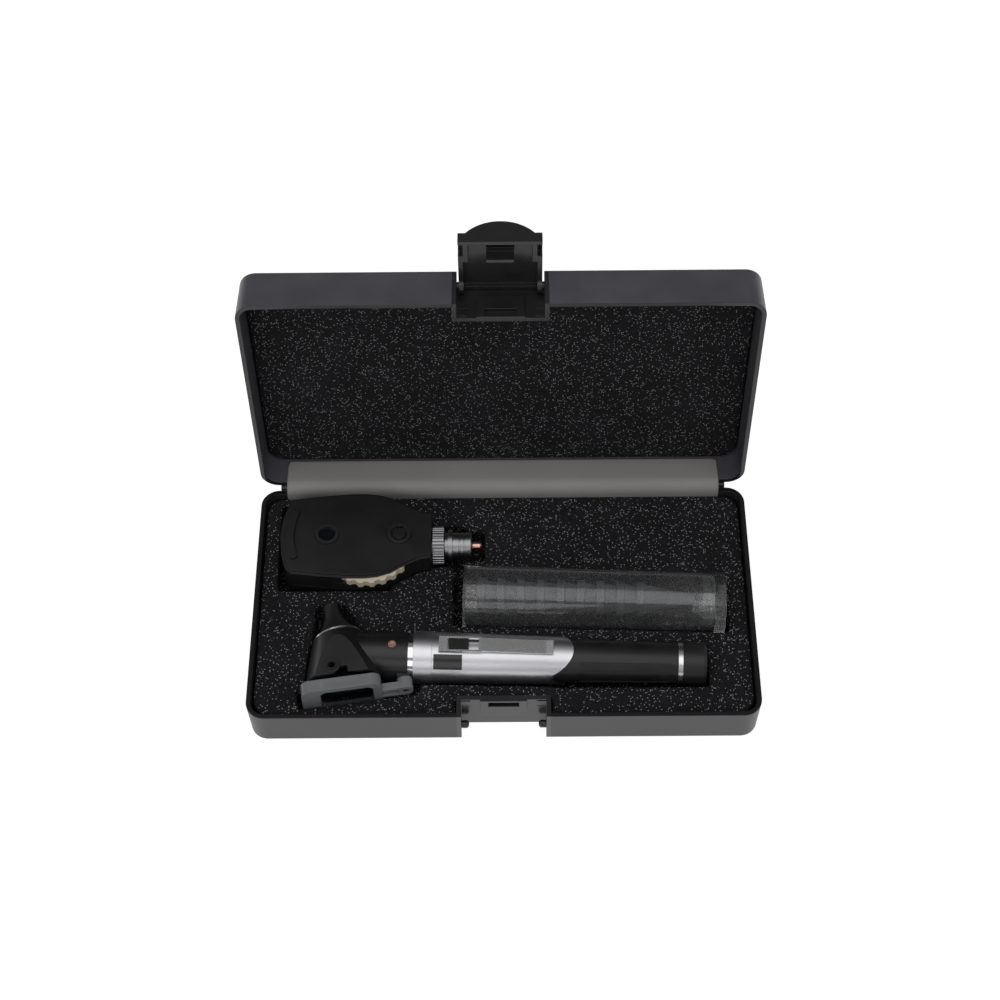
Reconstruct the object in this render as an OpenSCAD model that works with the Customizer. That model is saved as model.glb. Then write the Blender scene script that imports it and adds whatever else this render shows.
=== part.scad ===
// Carry case with a pocket otoscope, an ophthalmoscope head and a tube of specula.
// Drawn with its lid and latch open. The case rests on z = 0 with its front towards -Y.

/* [Case] */
// Width of the case at its rim
case_w = 205; // [195:1:225]
// Depth of the case at its rim
case_d = 109.5; // [105:0.5:120]
// Height of one half
half_h = 19; // [18.5:0.5:22]
// Wall of the two halves
wall = 1.8; // [1.5:0.1:2.4]
// Radius of the upright corners
corner_r = 7.5; // [5:0.5:10]
// Radius of the bottom edge
edge_r = 1.2; // [0.6:0.2:1.6]
// How far each wall leans in from rim to floor
draft = 0.5; // [0.2:0.1:1]
// Angle that the lid is opened to
lid_open = 93.85; // [0:0.05:95]

/* [Hinge] */
// Distance of the hinge axis behind the rear wall
hinge_back = 1.6; // [1.5:0.1:2.4]
// Radius of the hinge knuckles
knuckle_r = 1.4; // [1.1:0.1:1.4]
// Length of one knuckle
knuckle_l = 6; // [4:0.5:8]
// Distance of the outermost knuckle's end from the middle
knuckle_out = 94.5; // [88:0.5:96]
// Radius of the hinge pin
hinge_pin_r = 0.7; // [0.5:0.1:0.8]

/* [Latch] */
// Width of the latch recess
recess_w = 34; // [32:0.5:38]
// Depth of the latch recess
recess_d = 7.75; // [7.5:0.25:9]
// Width of the latch
latch_w = 32.4; // [30:0.2:33]
// Thickness of the latch's plate
latch_t = 1.6; // [1.2:0.1:2]
// Depth of the latch's side walls
latch_depth = 5; // [4:0.2:5.4]
// Reach of the latch below its pivot
latch_reach = 24; // [23:0.5:26]
// Height of the pivot below the lid's top
pivot_h = 4.6; // [4:0.1:5]
// Distance of the pivot behind the front face
pivot_in = 4.55; // [4.3:0.05:4.8]
// Radius of the pivot pegs
peg_r = 1.6; // [1.2:0.1:1.8]
// Width of the finger lip
lip_w = 26.5; // [22:0.5:30]
// Reach of the finger lip
lip_reach = 6.4; // [4:0.2:8]
// Width of the latch's hook
hook_w = 10.7; // [8:0.1:11.4]

/* [Foam and strip] */
// Height of the base foam's face below the rim
foam_drop = 2; // [1.5:0.1:3]
// Thickness of the lid's foam
lid_foam_t = 5.2; // [4:0.2:6]
// Thickness of the hinge strip
strip_t = 0.5; // [0.4:0.1:0.8]
// Length of the hinge strip
strip_l = 184; // [170:1:186]

/* [Otoscope handle] */
// Place of the collar's front face, from left to right
oto_x = -35.9; // [-36.5:0.1:-35.5]
// Place of the handle's axis, from front to back
oto_y = -26.8; // [-27.2:0.1:-26.4]
// Height of the handle's axis
oto_z = 18; // [17.8:0.1:18.2]
// Turn of the otoscope in its pocket
oto_turn = -1.9; // [-2.1:0.1:-1.7]
// Radius of the silver collar
collar_r = 10.6; // [10.4:0.1:10.8]
// Length of the silver collar
collar_l = 7.4; // [6:0.2:9]
// Radius of the grip at the collar
grip_r0 = 9.7; // [9.5:0.1:9.9]
// Radius of the grip at its far end
grip_r1 = 8.1; // [8:0.05:8.2]
// Length of the grip from the collar
grip_l = 98.5; // [97:0.5:102]
// Thickness of the silver sleeve over the grip
sleeve_t = 0.65; // [0.4:0.05:0.7]
// Reach of the sleeve's pointed end
sleeve_l = 64; // [60:0.5:66]
// Length of the trim ring
trim_l = 1.9; // [1:0.1:3]
// Length of the end cap
cap_l = 9.6; // [8:0.2:12]
// Radius of the battery bore
battery_bore_r = 7.35; // [7.3:0.05:7.4]
// Radius of one cell
cell_r = 7.1; // [6.9:0.05:7.2]
// Length of one cell
cell_l = 50.5; // [49:0.5:50.5]

/* [Otoscope head] */
// Tilt of the viewing axis
head_tilt = 10; // [9:0.5:11]
// Further tilt of the silver ring and the speculum
spec_tilt = 6; // [5:0.5:7]
// Radius of the head at the silver ring
head_r0 = 10.6; // [10.2:0.1:10.8]
// Radius of the head at the eyepiece end
head_r1 = 15.6; // [15:0.1:16]
// Length of the head's shell
head_l = 21; // [20:0.5:21.5]
// Half thickness of the head between its flat sides
head_flat = 11.4; // [11:0.1:11.8]
// Wall of the head's shell
head_wall = 1.8; // [1.4:0.1:2.2]
// Length of the speculum ahead of the ring
spec_l = 16.5; // [14:0.5:17]
// Radius of the speculum's tip
spec_tip_r = 3.1; // [2.6:0.1:3.6]
// Width of the magnifier's frame
mag_w = 32; // [31:0.5:33]
// Height of the magnifier's frame
mag_h = 20; // [19:0.5:21]
// Thickness of the magnifier's frame
mag_t = 5.2; // [4:0.2:5.4]

/* [Ophthalmoscope] */
// Place of the head's neck face, from left to right
oph_x = -29.7; // [-30.5:0.1:-29]
// Place of the head's middle line, from front to back
oph_y = 27.4; // [27:0.1:27.8]
// Height of the head's middle plane
oph_z = 16.8; // [16.7:0.1:16.9]
// Half thickness of the head
oph_half = 9.5; // [9.2:0.1:9.8]
// Length of the head
oph_l = 63; // [62:0.5:63.5]
// Half width of the head
oph_half_w = 20.8; // [20:0.2:21]
// Radius of the lens wheel
wheel_r = 19; // [18:0.2:19.2]
// Thickness of the lens wheel
wheel_t = 3.2; // [2.6:0.1:3.4]
// Number of scallops round the lens wheel
scallops = 24; // [16:1:28]

/* [Specula tube] */
// Place of the tube's left end, from left to right
tube_x = -16.2; // [-16.6:0.1:-15.8]
// Place of the tube's left end, from front to back
tube_y = 2.4; // [2.2:0.1:2.8]
// Height of the tube's axis
tube_z = 16.8; // [16.6:0.1:17]
// Turn of the tube in its pocket
tube_turn = -2.2; // [-2.4:0.1:-2]
// Length of the tube with its cap
tube_l = 107; // [104:0.5:108]
// Radius of the tube at its left end
tube_r0 = 13.2; // [13:0.1:13.3]
// Radius of the tube at its right end
tube_r1 = 12.2; // [12:0.1:12.4]
// Wall of the tube
tube_wall = 0.8; // [0.6:0.1:1]
// Length of the cap's rim
tube_cap_l = 4.6; // [3.6:0.2:6]
// Radius of a speculum's collar
cone_r = 7.2; // [6.8:0.1:7.3]
// Step from one nested speculum to the next
cone_step = 8.2; // [7.6:0.1:8.4]
// Number of nested specula
cone_count = 9; // [5:1:9]

/* [Fits] */
// Running clearance of a pin or shaft
run = 0.05; // [0.03:0.01:0.08]
// Gap between pieces that move past each other
gap = 0.3; // [0.25:0.05:0.4]
// Gap of an instrument in its foam pocket
pocket_gap = 0.8; // [0.5:0.1:1]

/* [Hidden] */
$fn = 64;
hinge_y = case_d / 2 + hinge_back;
recess_back = -case_d / 2 + recess_d;
inner_edge_r = 0.4 * edge_r;
cavity_w = case_w - 2 * wall;
cavity_d = case_d - 2 * wall;
foam_w = cavity_w - 2 * draft - 0.6;
foam_d = cavity_d - 2 * draft - 0.6;
foam_top = half_h - foam_drop;
pocket_floor = oto_z - head_flat - 0.2;
tube_floor = tube_z - tube_r0 - gap;
edge_x = foam_w / 2;
edge_y = foam_d / 2;
lid_top = 2 * half_h;
lid_foam_z = lid_top - wall - lid_foam_t;
pivot_y = -case_d / 2 + pivot_in;
pivot_z = lid_top - pivot_h;
latch_y = -case_d / 2 + 0.15;
latch_end = pivot_z - latch_reach;
hook_z = half_h - 3.1;
slot_low = half_h - 4.4;
slot_high = half_h - 1;
slot_w = hook_w + 1.7;
pad_t = 0.8;
knuckle_step = knuckle_l + gap;
bore_r = hinge_pin_r + run;
grip_end = collar_l + grip_l;
trim_end = grip_end + trim_l;
cap_end = trim_end + cap_l;
spigot_r = battery_bore_r + 0.4;
spigot_l = trim_l + 3.6;
cell_x = 4.3;
ring_x = -31.2;
ring_y = 6.7;
mag_y = -head_l - 1.2 - mag_t;
ring_lean = 1.3;
mag_x = -1;
mag_pivot_x = 24.3;
window_x = mag_x + 2;
window_w = mag_w - 11;
window_h = mag_h - 4.5;
mag_pin_r = 1.2;
neck_r = collar_r - 0.7;
wheel_x = -26.6;
wheel_y = -oph_half_w - 2.2 + wheel_r;
wheel_z = 4.6;
cone_l = 24;
cone_tip_r = 2.2;

// A flat outline with four round corners
module rounded(w, d, r) {
  square([w, d - 2 * r], center = true);
  square([w - 2 * r, d], center = true);
  for (x = [-1, 1], y = [-1, 1]) translate([x * (w / 2 - r), y * (d / 2 - r)]) circle(r);
}

// Points of an open-topped wall profile from the rim down round the bottom edge, for a half width u
function wall_side(u, h, e, lean) = [[u, h], for (a = [0:15:90])
  [u - lean - e + e * cos(a), e - e * sin(a)]];

// A block with round upright corners, leaning walls and a rounded bottom edge
module drafted_block(w, d, h, r, e, lean) {
  cx = w / 2 - r;
  cy = d / 2 - r;
  right = wall_side(w / 2, h, e, lean);
  back = wall_side(d / 2, h, e, lean);
  translate([0, cy, 0]) rotate([90, 0, 0]) linear_extrude(2 * cy)
    polygon(concat(right, [for (i = [len(right) - 1:-1:0]) [-right[i][0], right[i][1]]]));
  translate([-cx, 0, 0]) rotate([90, 0, 90]) linear_extrude(2 * cx)
    polygon(concat(back, [for (i = [len(back) - 1:-1:0]) [-back[i][0], back[i][1]]]));
  for (k = [0:3])
    translate([(k == 0 || k == 3 ? 1 : -1) * cx, (k < 2 ? 1 : -1) * cy, 0])
      rotate([0, 0, 90 * k]) rotate_extrude(angle = 90)
        polygon(concat([[0, h]], wall_side(r, h, e, lean), [[0, 0]]));
}

// Moves a piece drawn on the closed lid to its place on the opened lid
module on_lid() {
  translate([0, hinge_y, half_h]) rotate([-lid_open, 0, 0])
    translate([0, -hinge_y, -half_h]) children();
}

// Turns a piece drawn on one half over to the other half, as the same moulding is turned over
module other_half() {
  translate([0, 0, half_h]) rotate([0, 180, 0]) translate([0, 0, -half_h]) children();
}

// One moulded half, with its latch recess, catch slot, pegs and hinge knuckles
module case_half() {
  difference() {
    union() {
      difference() {
        drafted_block(case_w, case_d, half_h, corner_r, edge_r, draft);
        difference() {
          translate([0, 0, wall])
            drafted_block(cavity_w, cavity_d, half_h, corner_r - wall, inner_edge_r, draft);
          translate([-recess_w / 2 - wall, -case_d / 2, 0])
            cube([recess_w + 2 * wall, recess_d + wall, half_h + wall]);
        }
        translate([-recess_w / 2, -case_d / 2 - 1, -1]) cube([recess_w, recess_d + 1, half_h + 2]);
      }
      translate([-slot_w / 2 - 3.1, recess_back - pad_t, slot_low - 7])
        cube([slot_w + 6.2, pad_t + 0.1, half_h - slot_low + 7]);
      for (s = [-1, 1]) translate([s * (recess_w / 2 + 0.1), pivot_y, pivot_h])
        rotate([0, -s * 90, 0]) {
          cylinder(r = peg_r, h = 2.4);
          translate([0, 0, 2.4]) cylinder(r1 = peg_r, r2 = peg_r * 0.55, h = 0.7);
        }
      for (s = [-1, 1], k = [0, 1]) knuckle(s, 2 * k + (s > 0 ? 0 : 1));
    }
    translate([-slot_w / 2, recess_back - pad_t - 1, slot_low])
      cube([slot_w, pad_t + 2, slot_high - slot_low]);
    for (s = [-1, 1], z = [half_h - 1.4, half_h - 5.2])
      translate([s * (recess_w / 2 - 1.9) - 1.9, recess_back - 0.1, z])
        cube([3.8, 0.6, z > half_h - 2 ? 0.9 : 0.35]);
    translate([0, hinge_y, half_h]) rotate([0, 90, 0])
      cylinder(r = bore_r, h = 2 * case_w, center = true);
  }
}

// One hinge knuckle with its web to the rear wall, k places in from the outer end on side s
module knuckle(s, k) {
  x0 = knuckle_out - k * knuckle_step - knuckle_l;
  translate([s > 0 ? x0 : -x0 - knuckle_l, 0, 0]) {
    translate([0, hinge_y, half_h]) rotate([0, 90, 0]) cylinder(r = knuckle_r, h = knuckle_l);
    difference() {
      translate([0, case_d / 2 - 0.9, half_h - 2.8]) cube([knuckle_l, hinge_back + 0.9 + 0.7, 2.6]);
      translate([-1, hinge_y + knuckle_r, half_h - 3]) rotate([-40, 0, 0])
        translate([0, 0, -4]) cube([knuckle_l + 2, 4, 7]);
    }
  }
}

// The part of a half that the walls of its latch recess take up
module recess_block() {
  translate([-recess_w / 2 - wall, -case_d, -1])
    cube([recess_w + 2 * wall, case_d / 2 + recess_d + wall, half_h + 2]);
}

module base_shell() {
  color([0.17, 0.165, 0.175]) difference() {
    case_half();
    recess_block();
  }
}

module base_recess() {
  color([0.17, 0.165, 0.175]) intersection() {
    case_half();
    recess_block();
  }
}

module lid_shell() {
  color([0.19, 0.19, 0.205]) on_lid() other_half() difference() {
    case_half();
    recess_block();
  }
}

module lid_recess() {
  color([0.19, 0.19, 0.205]) on_lid() other_half() intersection() {
    case_half();
    recess_block();
  }
}

module hinge_pins() {
  l = 4 * knuckle_step - gap;
  color([0.6, 0.6, 0.62]) for (s = [-1, 1])
    translate([s > 0 ? knuckle_out - l : -knuckle_out, hinge_y, half_h]) rotate([0, 90, 0])
      cylinder(r = hinge_pin_r, h = l);
}

// The room that the latch recess takes out of a foam sheet
module recess_room(z, h) {
  translate([-recess_w / 2 - wall - 0.5, -case_d / 2, z])
    cube([recess_w + 2 * wall + 1, recess_d + wall + 0.5, h]);
}

// Plain foam under the tube's pocket
module foam_floor() {
  color([0.1, 0.1, 0.11]) difference() {
    translate([0, 0, wall + 0.2]) linear_extrude(tube_floor - wall - 0.2)
      rounded(foam_w, foam_d, corner_r);
    recess_room(0, half_h);
  }
}

// Foam under the other pockets, beside the tube's pocket, as [x, y] of two corners
module foam_pads(corners) {
  color([0.1, 0.1, 0.11]) difference() {
    for (c = corners) intersection() {
      translate([0, 0, tube_floor]) linear_extrude(pocket_floor - tube_floor)
        rounded(foam_w, foam_d, corner_r);
      translate([c[0], c[1], 0]) cube([c[2] - c[0], c[3] - c[1], half_h]);
    }
    recess_room(0, half_h);
    translate([0, 0, 1]) linear_extrude(half_h) at_tube_flat() tube_pocket();
  }
}

module foam_pads_outer() {
  foam_pads([[-edge_x, -edge_y, -19.3, -11.6], [19.3, -edge_y, 91.05, -12],
    [-edge_x, 14.5, edge_x, edge_y]]);
}

module foam_pads_inner() {
  foam_pads([[-19.3, -44.7, 19.3, -11.6], [-edge_x, -11.6, -20.8, 14.5], [91.05, -edge_y, edge_x, 14.5]]);
}

// Upright blocks of the die-cut foam around the pockets, each given as [x, y] of two corners
module foam_blocks(corners) {
  color([0.1, 0.1, 0.11]) difference() {
    for (c = corners) intersection() {
      translate([0, 0, pocket_floor]) linear_extrude(foam_top - pocket_floor)
        rounded(foam_w, foam_d, corner_r);
      translate([c[0], c[1], 0]) cube([c[2] - c[0], c[3] - c[1], half_h]);
    }
    recess_room(0, half_h);
    translate([0, 0, 1]) linear_extrude(half_h) at_otoscope_flat() handle_pocket();
    translate([0, 0, 1]) linear_extrude(half_h) at_head_flat() head_pocket();
    translate([0, 0, 1]) linear_extrude(half_h) at_head_flat() rotate(spec_tilt) speculum_pocket();
    translate([0, 0, 1]) linear_extrude(half_h) at_head_flat() magnifier_pocket();
    translate([0, 0, 1]) linear_extrude(half_h) translate([oph_x, oph_y]) polygon(oph_outline(pocket_gap));
    translate([0, 0, 1]) linear_extrude(half_h) translate([oph_x - 1, oph_y - 10]) square([15, 20]);
    translate([0, 0, 1]) linear_extrude(half_h) translate([oph_x + 13, oph_y - 7.6]) square([9.2, 15.2]);
    translate([0, 0, 1]) linear_extrude(half_h) at_tube_flat() tube_pocket();
  }
}

module foam_tray() {
  foam_blocks([[-edge_x, -0.9, -93.6, edge_y], [-edge_x, -40.6, -78, -20.7],
    [-81.7, -edge_y, -33.5, -42.8], [-19.3, -44.7, 19.3, -38], [82.6, -edge_y, edge_x, -15.3],
    [-7.5, 11.7, edge_x, edge_y], [-30.7, 37.4, -15.7, edge_y], [-46.3, -15.6, -30.7, 16],
    [-20.7, -18, 21.1, -11.3]]);
}

module foam_tray_blocks() {
  foam_blocks([[-edge_x, -edge_y, -83.2, -40.6], [-33.5, -edge_y, -19.3, -38],
    [19.3, -edge_y, 82.6, -40.3], [21.1, -21.2, 82.6, -11], [92.1, -15.3, edge_x, 11.7],
    [-15.7, 16, -7.5, 19.8], [-15.7, 35, -7.5, edge_y], [-46.3, 38, -30.7, edge_y],
    [-93.6, -0.9, -46.3, 5.7], [-30.7, -16, -20.7, 17.3]]);
}

module foam_tray_wedges() {
  foam_blocks([[-93.6, 49.1, -46.3, edge_y], [-83.2, -edge_y, -81.7, -42.8],
    [-edge_x, -20.7, -77, -0.9], [-65.2, -14.7, -46.3, -0.9]]);
}

// Flat outlines of the pockets, each in the frame of its instrument
module at_otoscope_flat() {
  translate([oto_x, oto_y]) rotate(oto_turn) children();
}

module at_head_flat() {
  at_otoscope_flat() translate([ring_x, ring_y]) rotate(head_tilt) children();
}

module at_tube_flat() {
  translate([tube_x, tube_y]) rotate(tube_turn) children();
}

module handle_pocket() {
  g = pocket_gap;
  polygon([[-20, collar_r + g], [grip_end / 2, collar_r + g], [cap_end + g, grip_r1 + 0.6 + g],
    [cap_end + g, -grip_r1 - 0.6 - g], [grip_end / 2, -collar_r - g], [-20, -collar_r - g]]);
}

module head_pocket() {
  g = pocket_gap;
  polygon([[-head_r0 - g - 0.4, 1], [head_r0 + 3, 1], [head_r1 + g, -head_l],
    [head_r1 + g, -head_l - 3], [-head_r1 - g, -head_l - 3], [-head_r1 - g, -head_l]]);
}

module speculum_pocket() {
  g = pocket_gap;
  polygon([[-head_r0 - g, 0], [-spec_tip_r - 3, spec_l + g], [spec_tip_r + 3, spec_l + g],
    [head_r0 + g, 0]]);
}

module magnifier_pocket() {
  translate([mag_x - mag_w / 2 - 2, mag_y - pocket_gap])
    square([mag_pivot_x - mag_x + mag_w / 2 + 7, mag_t + 4]);
}

module tube_pocket() {
  g = pocket_gap;
  translate([-4, 0]) polygon([[0, tube_r0 + g], [tube_l + 4 + g, tube_r1 + g + 0.5],
    [tube_l + 4 + g, -tube_r1 - g - 0.5], [0, -tube_r0 - g]]);
}

module lid_foam() {
  color([0.1, 0.1, 0.11]) on_lid() difference() {
    translate([0, 0, lid_foam_z]) linear_extrude(lid_foam_t - 0.2) rounded(foam_w, foam_d, corner_r);
    recess_room(half_h, half_h + 1);
  }
}

// Strip of sheet that covers the hinge: a flap in the base, a bend and a flap in the lid
strip_y = case_d / 2 - wall - draft;
module strip_base_flap() {
  color([0.45, 0.44, 0.43]) translate([-strip_l / 2, strip_y - strip_t + draft * 0.4, foam_top - 4])
    cube([strip_l, strip_t, foam_drop + 3.4]);
}

module strip_bend() {
  y0 = strip_y + draft * 0.4;
  z0 = half_h - 0.6;
  y1 = hinge_y + 0.3;
  z1 = half_h + hinge_y - strip_y + 0.25;
  color([0.45, 0.44, 0.43]) translate([-strip_l / 2, 0, 0]) rotate([90, 0, 90]) linear_extrude(strip_l)
    polygon([[y0 - strip_t, z0], [y0, z0], [y0, half_h + 0.1], [y0 + 0.9, half_h + 1.2],
      [y1, z1 - strip_t], [y1, z1], [y0 - strip_t + 0.5, half_h + 1.2], [y0 - strip_t, half_h + 0.2]]);
}

module strip_lid_flap() {
  color([0.45, 0.44, 0.43]) on_lid() translate([-strip_l / 2, strip_y - strip_t + draft * 0.2, half_h + 0.3])
    cube([strip_l, strip_t, lid_foam_z - half_h - 0.5]);
}

// The latch, drawn closed on the closed lid and swung out square to it
module latch() {
  color([0.17, 0.165, 0.175]) on_lid() translate([0, pivot_y, pivot_z]) rotate([-90, 0, 0])
    translate([0, -pivot_y, -pivot_z]) latch_closed();
}

module latch_closed() {
  top = pivot_z + pivot_in - 1.65;
  h = top - latch_end;
  shoulder = latch_end + 10;
  side = 1.9;
  difference() {
    union() {
      translate([-latch_w / 2, latch_y, latch_end]) cube([latch_w, latch_t, h]);
      translate([-latch_w / 2, latch_y, latch_end]) cube([latch_w, latch_depth, latch_t]);
      translate([-latch_w / 2 + side, latch_y, top - latch_t])
        cube([latch_w - 2 * side, latch_depth - 1.6, latch_t]);
      for (s = [-1, 1]) {
        translate([s * (latch_w / 2 - side / 2) - side / 2, latch_y, shoulder - 0.1])
          cube([side, latch_depth, top - shoulder + 0.1]);
        translate([s * (latch_w / 2 - 1.5 * side) - side / 2, latch_y, latch_end])
          cube([side, latch_depth, 10.6]);
        translate([s * (latch_w / 2 - side / 2) - side / 2, latch_y, shoulder - 2.4])
          cube([side, latch_depth, 3]);
        translate([s * (latch_w / 2 - side / 2) - side / 2, pivot_y, pivot_z]) rotate([0, 90, 0])
          cylinder(r = 2.9, h = side);
      }
      translate([-hook_w / 2, latch_y, hook_z]) cube([hook_w, recess_back - latch_y + 0.5, 1.4]);
      translate([-hook_w / 2, latch_y, hook_z - 2]) cube([hook_w, 3.2, 2.2]);
      intersection() {
        translate([0, latch_y + lip_arc() - lip_reach, latch_end]) cylinder(r = lip_arc(), h = latch_t);
        translate([-lip_w / 2, latch_y - lip_reach - 1, latch_end]) cube([lip_w, lip_reach + 1.2, latch_t]);
      }
    }
    translate([0, pivot_y, pivot_z]) rotate([0, 90, 0])
      cylinder(r = peg_r + run, h = 2 * latch_w, center = true);
  }
}
function lip_arc() = (lip_w * lip_w / 4 + lip_reach * lip_reach) / (2 * lip_reach);

// Otoscope frame: x runs along the handle from its collar, y towards the speculum
module at_otoscope() {
  translate([oto_x, oto_y, oto_z]) rotate([0, 0, oto_turn]) children();
}

// Head frame: y runs along the viewing axis, with 0 at the silver ring
module in_head() {
  translate([ring_x, ring_y, 0]) rotate([0, 0, head_tilt]) children();
}

// Ring frame: the silver ring and the speculum, tilted a little further than the head
module in_ring() {
  in_head() rotate([0, 0, spec_tilt]) children();
}

// Turns a shape drawn along z to lie along x
module along_x() {
  rotate([0, 90, 0]) children();
}

// Turns a shape drawn along z to lie along y
module along_y() {
  rotate([-90, 0, 0]) children();
}

function grip_r(x) = grip_r0 + (grip_r1 - grip_r0) * (x - collar_l) / grip_l;

module head_cone(r0, r1) {
  in_head() intersection() {
    translate([0, -head_l, 0]) along_y()
      cylinder(r1 = r1, r2 = r0 - ring_lean * (r1 - r0) / head_l, h = head_l + ring_lean);
    translate([-2 * r1, -2 * head_l, -head_flat - (r0 - head_r0)])
      cube([4 * r1, 4 * head_l, 2 * (head_flat + r0 - head_r0)]);
  }
}

// The neck from the head to the silver neck ring
module neck_cone() {
  translate([ring_x + 6, 0, 0]) along_x()
    cylinder(r1 = neck_r - 0.5, r2 = neck_r, h = -ring_x - 6 - 2.2);
}

module head_shell() {
  color([0.07, 0.07, 0.08]) at_otoscope() difference() {
    union() {
      head_cone(head_r0, head_r1);
      intersection() {
        neck_cone();
        in_head() translate([-60, -60, -20]) cube([120, 60, 40]);
      }
      in_head() translate([-3.6, -17.5, head_flat - 1]) cylinder(r = 3.3, h = 1.6);
    }
    head_cone(head_r0 - head_wall, head_r1 - head_wall);
    in_head() translate([0, -head_l - 1, 0]) along_y() cylinder(r = head_r1 - head_wall - 2.2, h = 4);
    in_ring() translate([0, -2.5, 0]) along_y() cylinder(r = 6.1, h = 6);
    in_ring() translate([-20, 0, -20]) cube([40, 8, 40]);
    in_head() translate([-3.6, -17.5, head_flat - 4]) cylinder(r = 2 + run, h = 6);
    translate([-8.5, 0, neck_r - 3]) cylinder(r = 0.9, h = 6);
    translate([-24, 0, 0]) along_x() cylinder(r = 5, h = 30);
  }
}

module speculum_ring() {
  color([0.75, 0.75, 0.77]) at_otoscope() in_ring() along_y() difference() {
    cylinder(r = head_r0 - 0.2, h = 0.9);
    translate([0, 0, -1]) cylinder(r = 6.1, h = 3);
  }
}

// Flared speculum profile: radius against the distance ahead of the ring
function flare(t) = spec_tip_r + (head_r0 - 1.3 - spec_tip_r) * pow(1 - t, 2.1);

module speculum() {
  y0 = 0.9 + gap;
  l = spec_l - y0;
  color([0.09, 0.09, 0.1]) at_otoscope() in_ring() difference() {
    along_y() rotate_extrude() polygon(concat(
      [[5.9 - gap, -1.5], [5.9 - gap, y0]],
      [for (i = [0:10]) [flare(i / 10), y0 + l * i / 10]],
      [[spec_tip_r - 0.6, y0 + l]],
      [for (i = [10:-1:0]) [min(flare(i / 10) - 0.7, 5.1 - gap), y0 + l * i / 10]],
      [[5.1 - gap, -1.5]]));
    translate([-8, spec_l - 6, 3]) cube([6, 1.1, 3]);
  }
}

module insufflation_port() {
  color([0.1, 0.1, 0.11]) at_otoscope() in_head() translate([-3.6, -17.5, head_flat - 2.4]) difference() {
    cylinder(r = 2, h = 3.4);
    translate([0, 0, -1]) cylinder(r = 1.4, h = 6);
  }
}

module head_screw() {
  z = collar_r - 0.7;
  color([0.75, 0.66, 0.6]) at_otoscope() translate([-8.5, 0, 0]) {
    translate([0, 0, z - 3]) cylinder(r = 0.85, h = 3.1);
    difference() {
      translate([0, 0, z]) cylinder(r = 1.6, h = 0.5);
      translate([0, 0, z + 0.25]) cylinder(r = 0.8, h = 1, $fn = 6);
    }
  }
}

// Ring of fibres that carries the lamp's light to the speculum
module lamp_fibre_ring() {
  color([0.85, 0.86, 0.8]) at_otoscope() in_head() translate([0, -7.3, 0]) along_y() difference() {
    cylinder(r = 6, h = 4.6);
    translate([0, 0, -1]) cylinder(r = 4.4, h = 8);
  }
}

module otoscope_lamp() {
  color([0.9, 0.9, 0.85]) at_otoscope() translate([-20, 0, 0]) along_x() {
    cylinder(r = 1.6, h = 6);
    translate([0, 0, 6]) cylinder(r = 4.9, h = 10);
  }
}

// Lug and pin under the neck that the magnifier swings on
module magnifier_post() {
  color([0.09, 0.09, 0.1]) at_otoscope() difference() {
    in_head() {
      translate([mag_pivot_x, mag_y + 0.4, 1]) along_y() cylinder(r = mag_pin_r, h = mag_t + 1.4);
      translate([mag_pivot_x - 2.6, mag_y + mag_t + gap, -1.4]) cube([5.2, 4.6, 4.8]);
    }
    neck_cone();
    translate([-2.3, 0, 0]) along_x() cylinder(r = collar_r - 1, h = 2.3);
  }
}

// Clear frame of the magnifier with its arm and pivot block
module magnifier_frame() {
  block = 3.1;
  color([0.8, 0.82, 0.85, 0.5]) at_otoscope() in_head() translate([0, mag_y, 0]) difference() {
    union() {
      translate([mag_x, 0, 0]) rotate([90, 0, 0]) translate([0, 0, -mag_t]) linear_extrude(mag_t)
        rounded(mag_w, mag_h, 4);
      for (z = [-1.9, 2.3]) translate([mag_x + mag_w / 2 - 1, 0, z])
        cube([mag_pivot_x - mag_x - mag_w / 2 + 1, mag_t * 0.6, 1.6]);
      translate([mag_pivot_x, 0, 1]) along_y() cylinder(r = block, h = mag_t);
      translate([mag_pivot_x - block + 0.8, 0, 1.8 - block])
        cube([2 * block - 1.6, mag_t, 2 * block - 1.6]);
    }
    translate([window_x, 0, 0]) rotate([90, 0, 0]) translate([0, 0, -mag_t - 1])
      linear_extrude(mag_t + 2) rounded(window_w, window_h, 2.5);
    translate([mag_pivot_x, -1, 1]) along_y() cylinder(r = mag_pin_r + run, h = mag_t + 2);
  }
}

module magnifier_lens() {
  color([0.8, 0.85, 0.9, 0.4]) at_otoscope() in_head()
    translate([window_x, mag_y + mag_t / 2, 0]) rotate([90, 0, 0])
      linear_extrude(1.6, center = true) rounded(window_w, window_h, 2.5);
}

module neck_ring() {
  color([0.8, 0.8, 0.82]) at_otoscope() translate([-2.2, 0, 0]) along_x() difference() {
    cylinder(r = collar_r - 1, h = 2.2);
    translate([0, 0, -1]) cylinder(r = 5, h = 4.2);
  }
}

module handle_collar() {
  color([0.78, 0.78, 0.8]) at_otoscope() along_x() difference() {
    cylinder(r = collar_r, h = collar_l);
    translate([0, 0, -1]) cylinder(r = 4.2, h = collar_l + 2);
    translate([0, 0, cell_x - 1.6]) cylinder(r = battery_bore_r, h = collar_l);
  }
}

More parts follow.
